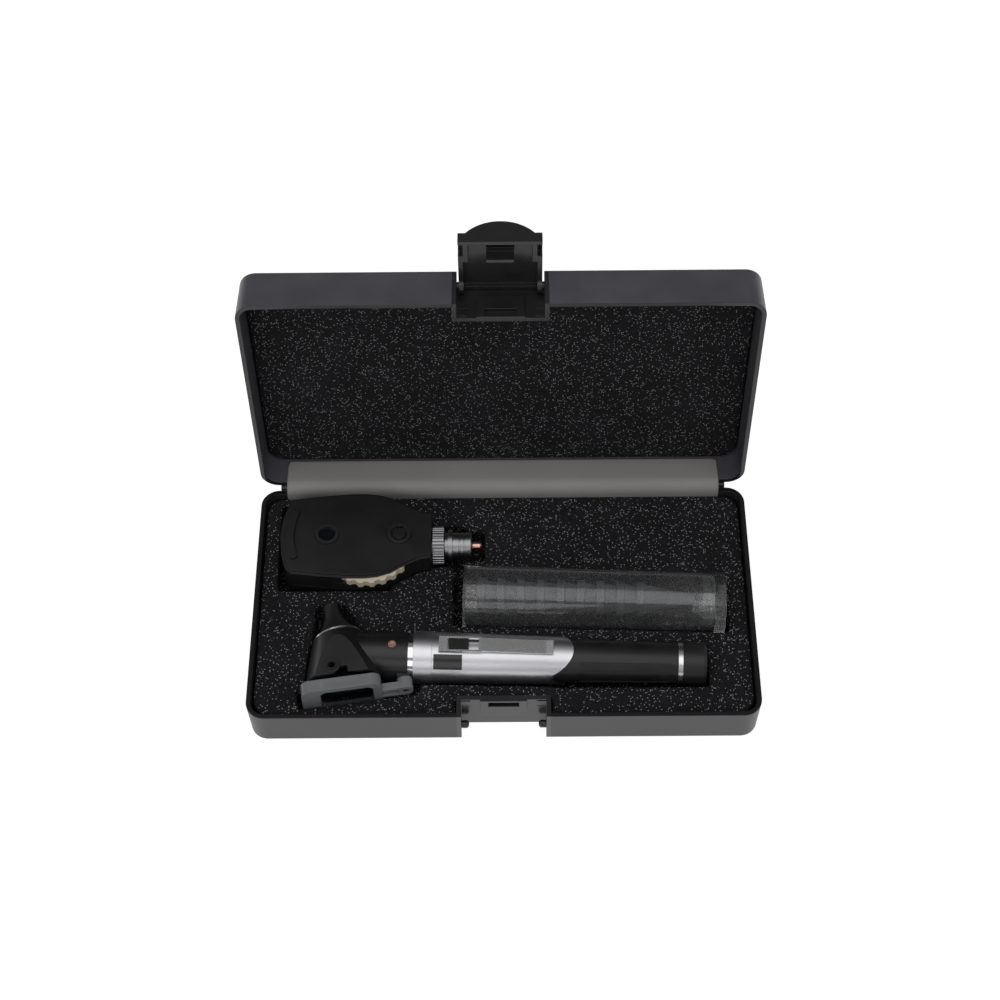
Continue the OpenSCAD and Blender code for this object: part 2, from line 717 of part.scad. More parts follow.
module handle_grip() {
  color([0.08, 0.08, 0.09]) at_otoscope() difference() {
    union() {
      translate([collar_l, 0, 0]) along_x() cylinder(r1 = grip_r0, r2 = grip_r1, h = grip_l);
      translate([grip_end, 0, 0]) along_x() cylinder(r = spigot_r, h = spigot_l);
    }
    translate([collar_l - 1, 0, 0]) along_x() cylinder(r = battery_bore_r, h = grip_l + spigot_l + 2);
    for (a = [-62, -38, 38, 62, 98, 142, 180, 218, 262]) rotate([a, 0, 0])
      translate([sleeve_l + 3, 0, grip_r(sleeve_l + 3) - 0.1])
        rotate([0, atan((grip_r0 - grip_r1) / grip_l), 0])
        translate([0, -0.7, -0.35]) cube([grip_end - sleeve_l - 6, 1.4, 2]);
  }
}

// Silver sleeve over the grip, cut slantwise at its far end
module handle_sleeve() {
  l = sleeve_l - collar_l;
  color([0.78, 0.78, 0.8]) at_otoscope() difference() {
    translate([collar_l, 0, 0]) along_x()
      cylinder(r1 = grip_r0 + sleeve_t, r2 = grip_r(sleeve_l) + sleeve_t, h = l);
    translate([collar_l, 0, 0]) along_x()
      cylinder(r1 = grip_r0, r2 = grip_r(sleeve_l), h = l);
    translate([0, 0, -20]) linear_extrude(40) polygon([[sleeve_l, -1.3], [sleeve_l - 0.1, 1],
      [sleeve_l - 0.7, 3.2], [sleeve_l - 2.2, 6], [sleeve_l - 5.4, 9.4], [sleeve_l - 8, 14],
      [sleeve_l + 9, 14], [sleeve_l + 9, -14], [sleeve_l - 16, -14], [sleeve_l - 11, -10],
      [sleeve_l - 5.6, -8.1], [sleeve_l - 3.2, -6.7], [sleeve_l - 1.6, -5], [sleeve_l - 0.5, -3.2]]);
  }
}

// Black window beside the switch, lying on the sleeve
module switch_window() {
  r = grip_r0 + sleeve_t;
  color([0.04, 0.04, 0.05]) at_otoscope() translate([collar_l + 0.8, 0, 0]) rotate([22, 0, 0]) along_x()
    rotate_extrude(angle = 34, start = 180) translate([r, 0]) square([0.25, 11.4]);
}

// Clip with the switch's slot, standing off the sleeve
clip_x0 = 10.2;
clip_x1 = 56;
clip_w = 7;
module pocket_clip() {
  z = collar_r + 0.15;
  t = 0.9;
  color([0.85, 0.85, 0.87]) at_otoscope() difference() {
    union() {
      translate([clip_x0, -clip_w / 2, z]) cube([17, clip_w, t]);
      translate([clip_x0 + 16.9, 0, z]) rotate([90, 0, 0]) linear_extrude(clip_w - 0.8, center = true)
        polygon([[0, 0], [26, -1.1], [clip_x1 - clip_x0 - 17, -0.6], [clip_x1 - clip_x0 - 17, 0.2],
          [26, -0.2], [0, t]]);
      translate([clip_x0, -clip_w / 2 + 1, grip_r0 + sleeve_t])
        cube([2.6, clip_w - 2, collar_r - grip_r0 - sleeve_t + 0.5]);
    }
    translate([13.8, -2.6, z - 2]) cube([12.4, 5.2, 4]);
  }
}

module switch_button() {
  z = collar_r - 0.15;
  color([0.06, 0.06, 0.07]) at_otoscope() {
    translate([14.1, -2.3, z]) cube([8, 4.6, 1.1]);
    for (i = [0:7]) translate([14.3 + i, -2.3, z + 1]) cube([0.5, 4.6, 0.55]);
  }
}

module contact_pin() {
  color([0.75, 0.6, 0.3]) at_otoscope() translate([-2.6, 0, 0]) along_x() cylinder(r = 1.6, h = cell_x + 1.4);
}

module battery_cells() {
  color([0.2, 0.22, 0.26]) at_otoscope() for (k = [0, 1])
    translate([cell_x + k * (cell_l + 1.2), 0, run - battery_bore_r + cell_r]) along_x() {
      cylinder(r = cell_r, h = cell_l);
      translate([0, 0, -1.1]) cylinder(r = 2.6, h = 1.2);
    }
}

// Turns of the battery spring behind the second cell
module battery_spring() {
  x0 = cell_x + 2 * cell_l + 1.3;
  color([0.7, 0.7, 0.72]) at_otoscope() translate([x0, 0, 0]) along_x() for (k = [0:2])
    translate([0, 0, 0.8 + k * 1.4]) rotate_extrude() translate([5.4 - k * 0.5, 0]) circle(r = 0.7);
}

module trim_ring() {
  color([0.8, 0.8, 0.82]) at_otoscope() translate([grip_end, 0, 0]) along_x() difference() {
    cylinder(r = grip_r1 + 0.2, h = trim_l);
    translate([0, 0, -1]) cylinder(r = spigot_r, h = trim_l + 2);
  }
}

module end_cap() {
  r = grip_r1 + 0.3;
  mouth = spigot_l - trim_l + 0.2;
  color([0.08, 0.08, 0.09]) at_otoscope() translate([trim_end + 0.1, 0, 0]) along_x() rotate_extrude()
    polygon([[spigot_r + run, 0], [r, 0], [r, cap_l - 1.4], [r - 0.4, cap_l - 0.5], [r - 1.3, cap_l - 0.1],
      [0, cap_l - 0.1], [0, cap_l - 1.7], [battery_bore_r - 0.6, cap_l - 1.7], [battery_bore_r - 0.6, mouth],
      [spigot_r + run, mouth]]);
}

// Ophthalmoscope frame: x runs from the neck's face, the head lies towards -x
module at_ophthalmoscope() {
  translate([oph_x, oph_y, oph_z]) children();
}

function oph_half_outline(g) = [[0, 11 + g], [-4.2, 11.6 + g], [-12.6, 15.8 + g], [-16.6, 18.4 + g],
  [-22, 20.2 + g], [-27, oph_half_w + g], [-34, oph_half_w + g], [-45, oph_half_w - 0.9 + g],
  [-oph_l + 5.4, 18.4 + g], [-oph_l + 3.2 - g, 16.4], [-oph_l + 0.9 - g, 9], [-oph_l - g, 0]];
function oph_outline(g) = concat(oph_half_outline(g),
  [for (p = [len(oph_half_outline(g)) - 2:-1:0]) [oph_half_outline(g)[p][0], -oph_half_outline(g)[p][1]]]);

// The room inside the head for its wheel and light path
module oph_room() {
  translate([wheel_x, wheel_y, wheel_z - gap]) cylinder(r = wheel_r + gap + 0.1, h = wheel_t + 2 * gap);
  translate([-45, 0, -7.2]) cylinder(r = 7, h = 10);
  translate([-26, -4, -6]) cube([27, 8, 8]);
}

module oph_front_shell() {
  color([0.07, 0.07, 0.08]) at_ophthalmoscope() difference() {
    union() {
      linear_extrude(oph_half - 1) polygon(oph_outline(0));
      translate([0, 0, oph_half - 1.1]) linear_extrude(1.1) polygon(oph_outline(-0.9));
    }
    oph_room();
    translate([-43.4, 0, oph_half - 1.6]) cylinder(r = 4.9, h = 3);
    translate([-43.4, 0, -1]) cylinder(r = 2, h = 20);
    translate([-13.4, 0, oph_half - 1.6]) cylinder(r = 4.9, h = 3);
    translate([wheel_x, wheel_y, -1]) cylinder(r = 1.5 + run, h = wheel_z + 2);
  }
}

module oph_rear_shell() {
  color([0.07, 0.07, 0.08]) at_ophthalmoscope() difference() {
    union() {
      translate([0, 0, -oph_half + 1]) linear_extrude(oph_half - 1) polygon(oph_outline(0));
      translate([0, 0, -oph_half]) linear_extrude(1.1) polygon(oph_outline(-0.9));
    }
    oph_room();
    translate([-43.4, 0, -20]) cylinder(r = 2, h = 20);
    translate([wheel_x, wheel_y, -3]) cylinder(r = 1.5 + run, h = 6);
  }
}

// Raised rubber arc that rests against the brow
module brow_rest() {
  r = 34;
  color([0.12, 0.12, 0.13]) at_ophthalmoscope() translate([-oph_l + r + 2.6, 0, oph_half]) {
    rotate([0, 0, 161]) rotate_extrude(angle = 38) translate([r - 3.4, 0]) square([3.4, 1.3]);
    for (a = [161, 199]) rotate([0, 0, a]) translate([r - 1.7, 0, 0]) cylinder(r = 1.7, h = 1.3);
  }
}

module bezel(x) {
  translate([x, 0, oph_half - 1.6]) difference() {
    cylinder(r = 4.85, h = 2.5);
    translate([0, 0, 1]) cylinder(r = 3.6, h = 3);
    translate([0, 0, -1]) cylinder(r = 2, h = 3);
  }
}

module aperture_bezel() {
  color([0.1, 0.1, 0.11]) at_ophthalmoscope() bezel(-43.4);
}

module aperture_glass() {
  color([0.05, 0.06, 0.08]) at_ophthalmoscope() translate([-43.4, 0, oph_half - 0.6])
    cylinder(r = 3.5, h = 0.5);
}

module filter_bezel() {
  color([0.1, 0.1, 0.11]) at_ophthalmoscope() bezel(-13.4);
}

module filter_knob() {
  color([0.1, 0.1, 0.11]) at_ophthalmoscope() translate([-13.4, 0, oph_half - 0.6]) {
    cylinder(r = 2.8, h = 1.2);
    translate([0, 0, -1]) cylinder(r = 1.9, h = 1.5);
  }
}

// Wheel of lenses with a scalloped edge
module lens_wheel() {
  pitch = 360 / scallops;
  color([0.86, 0.8, 0.66]) at_ophthalmoscope() translate([wheel_x, wheel_y, wheel_z]) difference() {
    cylinder(r = wheel_r, h = wheel_t);
    for (k = [0:scallops - 1]) rotate([0, 0, k * pitch])
      translate([wheel_r + 0.9, 0, -1]) cylinder(r = 1.9, h = wheel_t + 2);
    for (k = [0:scallops - 1]) rotate([0, 0, (k + 0.5) * pitch])
      translate([wheel_r - 4.4, 0, -1]) cylinder(r = 1.5, h = wheel_t + 2);
    translate([0, 0, -1]) cylinder(r = 1.5 + run, h = wheel_t + 2);
  }
}

module wheel_axle() {
  color([0.7, 0.7, 0.72]) at_ophthalmoscope() translate([wheel_x, wheel_y, -3])
    cylinder(r = 1.5, h = wheel_z + wheel_t + 3);
}

module oph_mirror() {
  color([0.85, 0.86, 0.88]) at_ophthalmoscope() {
    translate([-45, 0, -4.6]) rotate([0, 40, 0]) cube([6, 6, 0.8], center = true);
    translate([-46.5, 0, -7.2]) cylinder(r = 2.6, h = 1.8);
  }
}

module oph_lamp() {
  color([0.9, 0.9, 0.85]) at_ophthalmoscope() translate([-24, 0, -2]) along_x() {
    cylinder(r = 1.5, h = 5);
    translate([0, 0, 4]) cylinder(r = 3.6, h = 18.9);
  }
}

module knurled_ring() {
  r = 8.3;
  color([0.75, 0.75, 0.77]) at_ophthalmoscope() along_x() difference() {
    translate([0, 0, 0.4]) cylinder(r = r, h = 4.7);
    translate([0, 0, -1]) cylinder(r = 4.5, h = 8);
    for (k = [0:35]) rotate([0, 0, k * 10]) translate([r + 0.15, 0, -1])
      rotate([0, 0, 45]) cube([0.7, 0.7, 16], center = true);
  }
}

module connector_barrel() {
  color([0.7, 0.7, 0.72]) at_ophthalmoscope() along_x() difference() {
    rotate_extrude() polygon([[0, 0], [4.4, 0], [4.4, 5.4], [5.6, 5.4], [5.6, 6.8], [6.9, 6.8], [6.9, 8.6],
      [5.7, 8.6], [5.7, 11.3], [5.2, 11.3], [5.2, 11.9], [5.7, 11.9], [5.7, 13.3], [5.2, 13.3], [5.2, 13.9],
      [5.7, 13.9], [5.7, 16.2], [5.3, 16.6], [0, 16.6]]);
    translate([0, 0, -1]) cylinder(r = 3.2, h = 19);
  }
}

module connector_insulator() {
  color([0.06, 0.06, 0.07]) at_ophthalmoscope() along_x() difference() {
    translate([0, 0, 1]) cylinder(r = 3.2, h = 15.9);
    cylinder(r = 1.3, h = 20);
  }
}

module connector_pin() {
  color([0.8, 0.55, 0.35]) at_ophthalmoscope() along_x() {
    translate([0, 0, 2]) cylinder(r = 1.3, h = 16);
    translate([0, 0, 16.9]) cylinder(r = 1.7, h = 3.2);
    translate([0, 0, 20.1]) cylinder(r1 = 1.7, r2 = 1, h = 0.7);
  }
}

// Tube frame: x runs along the tube from its left end
module at_tube() {
  translate([tube_x, tube_y, tube_z]) rotate([0, 0, tube_turn]) children();
}

function tube_r(x) = tube_r0 + (tube_r1 - tube_r0) * x / tube_l;

module specula_tube() {
  l = tube_l - tube_cap_l;
  color([0.75, 0.78, 0.82, 0.35]) at_tube() along_x() difference() {
    cylinder(r1 = tube_r0, r2 = tube_r(l), h = l);
    translate([0, 0, 1.2]) cylinder(r1 = tube_r0 - tube_wall, r2 = tube_r(l) - tube_wall, h = l);
  }
}

// Specula nested one in the next, lying against the tube's wall
module nested_specula() {
  side = (tube_r(cone_count * cone_step + 16) - tube_wall - cone_r - gap) / sqrt(2);
  color([0.16, 0.17, 0.18]) at_tube() translate([5.5, side, -side]) along_x() for (k = [0:cone_count - 1])
    translate([0, 0, k * cone_step]) rotate_extrude() polygon([[cone_r - 0.5, 0], [cone_r, 0], [cone_r, 3],
      [cone_r - 1, 3.4], [cone_tip_r + 1.6, cone_l * 0.6], [cone_tip_r, cone_l], [cone_tip_r - 0.6, cone_l],
      [cone_tip_r + 1, cone_l * 0.6], [cone_r - 1.6, 3.4], [cone_r - 0.5, 2]]);
}

module tube_cap() {
  l = tube_l - tube_cap_l;
  r = tube_r(l) - tube_wall;
  color([0.75, 0.78, 0.82, 0.35]) at_tube() along_x() {
    translate([0, 0, l + 0.1]) cylinder(r = tube_r1 + 0.4, h = tube_cap_l - 0.1);
    translate([0, 0, l - 5]) difference() {
      cylinder(r = r - run, h = 5.2);
      translate([0, 0, -1]) cylinder(r = r - run - 0.9, h = 6);
    }
  }
}

base_shell();
lid_shell();
base_recess();
lid_recess();
hinge_pins();
foam_floor();
foam_pads_outer();
foam_pads_inner();
foam_tray();
foam_tray_blocks();
foam_tray_wedges();
lid_foam();
strip_base_flap();
strip_bend();
strip_lid_flap();
latch();
head_shell();
speculum_ring();
speculum();
insufflation_port();
head_screw();
lamp_fibre_ring();
otoscope_lamp();
magnifier_post();
magnifier_frame();
magnifier_lens();
neck_ring();
handle_collar();
handle_grip();
handle_sleeve();
switch_window();
pocket_clip();
switch_button();
contact_pin();
battery_cells();
battery_spring();
trim_ring();
end_cap();
oph_front_shell();
oph_rear_shell();
brow_rest();
aperture_bezel();
aperture_glass();
filter_bezel();
filter_knob();
lens_wheel();
wheel_axle();
oph_mirror();
oph_lamp();
knurled_ring();
connector_barrel();
connector_insulator();
connector_pin();
specula_tube();
nested_specula();
tube_cap();
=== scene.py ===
"""Dresses the otoscope carry case: shells, foam, hinge strip and the instruments in their pockets."""
import math

import bpy
import bmesh
from mathutils import Matrix, Vector


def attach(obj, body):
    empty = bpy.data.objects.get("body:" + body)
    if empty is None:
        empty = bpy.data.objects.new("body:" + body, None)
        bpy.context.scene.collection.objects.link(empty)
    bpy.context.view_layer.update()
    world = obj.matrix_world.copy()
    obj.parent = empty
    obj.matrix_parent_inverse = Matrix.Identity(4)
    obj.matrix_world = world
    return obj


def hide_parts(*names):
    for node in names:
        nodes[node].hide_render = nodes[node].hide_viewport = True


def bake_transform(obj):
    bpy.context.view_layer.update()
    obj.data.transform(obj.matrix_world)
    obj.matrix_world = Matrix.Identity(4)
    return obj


MM = 0.001
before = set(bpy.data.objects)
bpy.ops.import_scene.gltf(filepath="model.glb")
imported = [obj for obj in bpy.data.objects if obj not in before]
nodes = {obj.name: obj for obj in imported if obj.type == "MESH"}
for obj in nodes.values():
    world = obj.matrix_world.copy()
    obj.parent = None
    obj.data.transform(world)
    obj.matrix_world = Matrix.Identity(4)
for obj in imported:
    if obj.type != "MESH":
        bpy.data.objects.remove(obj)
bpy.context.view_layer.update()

# Where the rims of the halves lie, and how far the lid's rim leans past upright
RIM_HEIGHT = 19
HINGE_Y = 56.35
LID_RIM_NORMAL = (0, 0.99774, -0.06714)
POLISHED_DEPTH = 0.12

# The die-cut foam: size of a remeshed cell, cloud of its unevenness and its depth, all in mm
FOAM_VOXEL = 0.87
FOAM_CLOUD = 2.2
FOAM_UNEVEN = 0.22

# The hinge strip, in mm
STRIP_HALF_WIDTH = 92.0
STRIP_THICKNESS = 0.45
STRIP_COLUMNS = 47
STRIP_SAG = 0.12

# The studio
WORLD_LIGHT = 0.17
FLOOR_GLOW = 0.9
FLOOR_SIZE = 6
CAMERA_PLACE = (3.12, -416.39, 697.62)
CAMERA_ANGLES = (-0.527, 55.55, -0.848)
CAMERA_LENS = 69.69


def mm(x, y, z):
    """A point given in millimetres."""
    return Vector((x, y, z)) * MM


# ---------------------------------------------------------------- finishes

class Value:
    """A shader socket that can be used in sums."""

    def __init__(self, finish, socket):
        self.finish = finish
        self.socket = socket

    def sum(self, operation, *others):
        sockets = dict(enumerate((self, *others)))
        return self.finish.node("ShaderNodeMath", {"operation": operation}, sockets)

    def __add__(self, other):
        return self.sum("ADD", other)

    def __radd__(self, other):
        return self.sum("ADD", other)

    def __sub__(self, other):
        return self.sum("SUBTRACT", other)

    def __rsub__(self, other):
        return (self * -1).sum("ADD", other)

    def __mul__(self, other):
        return self.sum("MULTIPLY", other)

    def __rmul__(self, other):
        return self.sum("MULTIPLY", other)

    def __lt__(self, other):
        return self.sum("LESS_THAN", other)

    def __gt__(self, other):
        return self.sum("GREATER_THAN", other)


class Finish:
    """One material while it is being made."""

    def __init__(self, name):
        self.material = bpy.data.materials.new(name)
        self.material.use_nodes = True
        self.tree = self.material.node_tree
        self.tree.nodes.clear()
        self.place = self.node("ShaderNodeTexCoord", out="Object")

    def node(self, kind, settings=(), sockets=(), out=0):
        """Adds a node, sets it up, fills its sockets and gives back one of its outputs."""
        made = self.tree.nodes.new(kind)
        for key, value in dict(settings).items():
            if key == "stops":
                ramp = made.color_ramp
                while len(ramp.elements) < len(value):
                    ramp.elements.new(0.5)
                for element, (position, colour) in zip(ramp.elements, value):
                    element.position = position
                    element.color = (*colour, 1)
            else:
                setattr(made, key, value)
        for key, value in dict(sockets).items():
            if isinstance(value, Value):
                self.tree.links.new(value.socket, made.inputs[key])
            else:
                made.inputs[key].default_value = value
        return Value(self, made.outputs[out]) if len(made.outputs) else None

    def noise(self, scale, detail=2.0, rough=0.5, stretch=None):
        place = self.place
        if stretch:
            place = self.node("ShaderNodeMapping", {}, {"Vector": self.place, "Scale": stretch})
        return self.node("ShaderNodeTexNoise", {}, {"Vector": place, "Scale": scale, "Detail": detail,
                                                    "Roughness": rough})

    def cells(self, scale, out="Distance"):
        return self.node("ShaderNodeTexVoronoi", {}, {"Vector": self.place, "Scale": scale}, out)

    def ramp(self, value, *stops):
        return self.node("ShaderNodeValToRGB", {"stops": stops}, {"Fac": value}, "Color")

    def between(self, factor, a, b):
        """Mixes two colours."""
        sockets = {0: factor, 6: self.colour(a), 7: self.colour(b)}
        return self.node("ShaderNodeMix", {"data_type": "RGBA"}, sockets, 2)

    @staticmethod
    def colour(c):
        return c if isinstance(c, Value) else (*c, 1)

    def soft_edges(self, radius, normal=None):
        """Rounds the edges in the shading, as a mould or a tumbler does."""
        sockets = {"Radius": radius * MM}
        if normal:
            sockets["Normal"] = normal
        return self.node("ShaderNodeBevel", {"samples": 4}, sockets)

    def bump(self, height, strength, distance, normal=None):
        sockets = {"Height": height, "Strength": strength, "Distance": distance * MM}
        if normal:
            sockets["Normal"] = normal
        return self.node("ShaderNodeBump", {}, sockets)

    def edge_mask(self, radius):
        """Near 1 along convex edges and 0 on open faces."""
        rounded = self.soft_edges(radius)
        plain = self.node("ShaderNodeNewGeometry", out="Normal")
        facing = self.dot(rounded, plain)
        return self.node("ShaderNodeMapRange", {}, {"Value": facing, 1: 0.995, 2: 0.8, 3: 0.0, 4: 1.0})

    def dot(self, a, b):
        """How far vector a reaches along vector b."""
        return self.node("ShaderNodeVectorMath", {"operation": "DOT_PRODUCT"}, {0: a, 1: b}, "Value")

    def surface(self, **sockets):
        """The main shader, straight to the output."""
        named = {key.replace("_", " "): value for key, value in sockets.items()}
        shader = self.node("ShaderNodeBsdfPrincipled", {}, named)
        self.node("ShaderNodeOutputMaterial", {}, {"Surface": shader})
        return self.material


def moulded_plastic(name, colour, rough, grain=0.04, grain_size=0.25, edge=0.25, coat=0.0, worn=0.0):
    """Plastic from a mould: fine grain, slight unevenness and softened edges."""
    f = Finish(name)
    drift = f.noise(60, 3)
    specks = f.noise(1 / (grain_size * MM), 2)
    pale = tuple(min(1, c * 1.35 + 0.004) for c in colour)
    base = f.between(f.node("ShaderNodeMapRange", {}, {"Value": drift, 1: 0.35, 2: 0.7}), colour, pale)
    if worn:
        lit = tuple(min(1, c * 2.2 + 0.02) for c in colour)
        base = f.between(f.edge_mask(edge * 1.2) * worn, base, lit)
    normal = f.bump(specks, 0.5, grain, f.soft_edges(edge))
    return f.surface(Base_Color=base, Roughness=rough + (drift - 0.5) * 0.14, Normal=normal,
                     Coat_Weight=coat, Coat_Roughness=0.08, IOR=1.5)


def case_plastic(name, colour, rim_shade_colour, rim_point, rim_normal):
    """Matt moulding whose rim is flat and polished, with the rim lying on a plane; the rim is painted
    darker than the wall, as painted shade for the dark reflection of its polished face.
    """
    f = Finish(name)
    drift = f.noise(60, 3)
    specks = f.noise(3300, 2)
    away = f.node("ShaderNodeVectorMath", {"operation": "SUBTRACT"}, {0: f.place, 1: rim_point})
    depth = f.dot(away, rim_normal)
    rim = depth < POLISHED_DEPTH * MM
    pale = tuple(c * 1.25 + 0.003 for c in colour)
    wall = f.between(f.node("ShaderNodeMapRange", {}, {"Value": drift, 1: 0.35, 2: 0.7}), colour, pale)
    wall = f.between(f.edge_mask(0.5) * 0.4, wall, tuple(c * 2 + 0.015 for c in colour))
    # Painted shade: the rim gets a darker colour than the wall, while its lower roughness is the real
    # polish.
    base = f.between(rim, wall, rim_shade_colour)
    normal = f.bump(specks * (1 - rim), 0.5, 0.05, f.soft_edges(0.4))
    rough = (1 - rim) * 0.4 + rim * 0.13 + (drift - 0.5) * 0.1
    return f.surface(Base_Color=base, Roughness=rough, Normal=normal, IOR=1.5)


def metal(name, colour, rough, grain=0.0, stretch=(1, 1, 1), size=0.2, edge=0.15):
    """Turned or brushed metal, with its grain drawn out along the machining marks."""
    f = Finish(name)
    lines = f.noise(1 / (size * MM), 3, 0.6, stretch)
    cloud = f.noise(70, 3)
    dull = tuple(c * 0.86 for c in colour)
    base = f.between(cloud, colour, dull)
    normal = f.bump(lines, 0.6, grain, f.soft_edges(edge)) if grain else f.soft_edges(edge)
    rough = rough + (lines - 0.5) * 0.12 + (cloud - 0.5) * 0.08
    return f.surface(Base_Color=base, Metallic=1.0, Roughness=rough, Normal=normal)


def clear_plastic(name, tint, rough, ior=1.49, edge=0.3, clear=1.0):
    """Clear or cloudy moulded plastic with faint flow lines."""
    f = Finish(name)
    flow = f.noise(90, 2)
    base = f.between(flow, tint, tuple(min(1, c * 1.03) for c in tint))
    normal = f.bump(flow, 0.12, 0.05, f.soft_edges(edge))
    return f.surface(Base_Color=base, Transmission_Weight=clear, IOR=ior,
                     Roughness=rough + (flow - 0.5) * 0.02, Normal=normal)


def cut_foam(name):
    """Black open-cell foam: dark pores, felted grain and pale flecks."""
    f = Finish(name)
    pores = f.cells(1500)
    pick = f.cells(1500, "Color")
    chance = f.node("ShaderNodeSeparateColor", {}, {"Color": pick}, 0)
    fleck = (pores < 0.36) * (chance > 0.78)
    grain = f.noise(1100, 4, 0.7)
    cloud = f.noise(45, 3)
    base = f.ramp(grain * 0.75 + cloud * 0.25,
                  (0.3, (0.005, 0.0047, 0.0055)),
                  (0.52, (0.013, 0.0125, 0.0145)),
                  (0.75, (0.036, 0.035, 0.039)))
    base = f.between(fleck * 0.85, base, (0.42, 0.41, 0.43))
    normal = f.bump(grain * 0.7 + pores * 0.5, 0.9, 0.5)
    return f.surface(Base_Color=base, Roughness=0.95, Specular_IOR_Level=0.25, Normal=normal)


def hinge_vinyl(name):
    """Satin vinyl sheet with a fine leathery grain."""
    f = Finish(name)
    grain = f.cells(2200)
    cloud = f.noise(30, 4)
    base = f.between(cloud, (0.29, 0.278, 0.272), (0.37, 0.355, 0.35))
    return f.surface(Base_Color=base, Roughness=0.46 + cloud * 0.12, Normal=f.bump(grain, 0.3, 0.06))


def ivory_plastic(name):
    """Cream plastic whose tone drifts a little towards yellow in cloudy patches."""
    f = Finish(name)
    cloud = f.noise(160, 3)
    base = f.between(cloud, (0.72, 0.63, 0.42), (0.82, 0.76, 0.6))
    normal = f.bump(f.noise(3000, 2), 0.3, 0.02, f.soft_edges(0.25))
    return f.surface(Base_Color=base, Roughness=0.42 + (cloud - 0.5) * 0.1, Subsurface_Weight=0.1,
                     Subsurface_Radius=(0.001, 0.0007, 0.0004), Subsurface_Scale=1.0, Normal=normal)


# Painted shade for the case rims: darker than the case plastic, standing in for the dark reflection of
# their polished faces.
RIM_PAINTED_SHADE = (0.01, 0.01, 0.011)
FINISHES = {
    "base plastic": case_plastic("base_plastic", (0.024, 0.022, 0.025), RIM_PAINTED_SHADE,
                                 mm(0, 0, RIM_HEIGHT), (0, 0, -1)),
    # The lid is the same plastic as the base, painted about three times lighter: painted light for the
    # light falling on its upturned face.
    "lid plastic painted light": case_plastic("lid_plastic_painted_light", (0.08, 0.079, 0.092), RIM_PAINTED_SHADE,
                                mm(0, HINGE_Y, RIM_HEIGHT), LID_RIM_NORMAL),
    "polished black": moulded_plastic("polished_black_plastic", (0.016, 0.0155, 0.017), 0.24,
                                      grain=0.01, grain_size=0.3, edge=0.35, coat=0.1, worn=0.4),
    "soft black": moulded_plastic("soft_black_plastic", (0.009, 0.009, 0.01), 0.4,
                                  grain=0.02, grain_size=0.3, edge=0.5, coat=0.12),
    "satin black": moulded_plastic("satin_black_plastic", (0.012, 0.012, 0.013), 0.42,
                                   grain=0.05, grain_size=0.22, worn=0.2),
    "grip black": moulded_plastic("grip_black_plastic", (0.009, 0.009, 0.01), 0.4,
                                  grain_size=0.22, coat=0.04, worn=0.2),
    "cup black": moulded_plastic("cup_black_plastic", (0.02, 0.02, 0.022), 0.3,
                                 grain=0.01, grain_size=0.3, coat=0.2, worn=0.9),
    "window black": moulded_plastic("window_black", (0.006, 0.006, 0.007), 0.3,
                                    grain=0.01, grain_size=0.3, edge=0.1, coat=0.3),
    "speculum plastic": moulded_plastic("speculum_plastic", (0.02, 0.02, 0.022), 0.4,
                                        grain=0.02, grain_size=0.3, edge=0.2, coat=0.1, worn=0.5),
    "specula grey": moulded_plastic("specula_grey_plastic", (0.08, 0.083, 0.09), 0.36,
                                    grain=0.02, grain_size=0.3, edge=0.2, coat=0.1, worn=0.5),
    "satin aluminium": metal("satin_aluminium", (0.8, 0.8, 0.83), 0.36, 0.02, (1, 14, 14), 0.25),
    "satin chrome": metal("satin_chrome", (0.82, 0.82, 0.83), 0.26, 0.01, (14, 1, 1), 0.25),
    "bright chrome": metal("bright_chrome", (0.88, 0.88, 0.9), 0.14, edge=0.3),
    "machined steel": metal("machined_steel", (0.36, 0.36, 0.37), 0.3, 0.03, (14, 1, 1), 0.2),
    "copper": metal("turned_copper", (0.82, 0.5, 0.42), 0.26, 0.02, (12, 1, 1), 0.2),
    "cloudy acrylic": clear_plastic("cloudy_acrylic", (0.5, 0.52, 0.54), 0.2, 1.49, 0.4, 0.62),
    "clear acrylic": clear_plastic("clear_acrylic", (0.97, 0.985, 0.99), 0.02),
    "tube plastic": clear_plastic("tube_plastic", (0.97, 0.98, 0.99), 0.06, 1.42, 0.2, 0.97),
    "smoked glass": moulded_plastic("smoked_glass", (0.004, 0.005, 0.007), 0.05, 0.0, 0.3, 0.1, 1.0),
    "fibre ends": moulded_plastic("fibre_ends", (0.7, 0.72, 0.62), 0.25, 0.05, 0.12, 0.1, 0.6),
    "cell sleeve": moulded_plastic("cell_sleeve", (0.03, 0.04, 0.07), 0.3, 0.01, 0.3, 0.3, 0.4),
    "foam": cut_foam("cut_foam"),
    "hinge vinyl": hinge_vinyl("hinge_vinyl"),
    "ivory": ivory_plastic("ivory_plastic"),
}

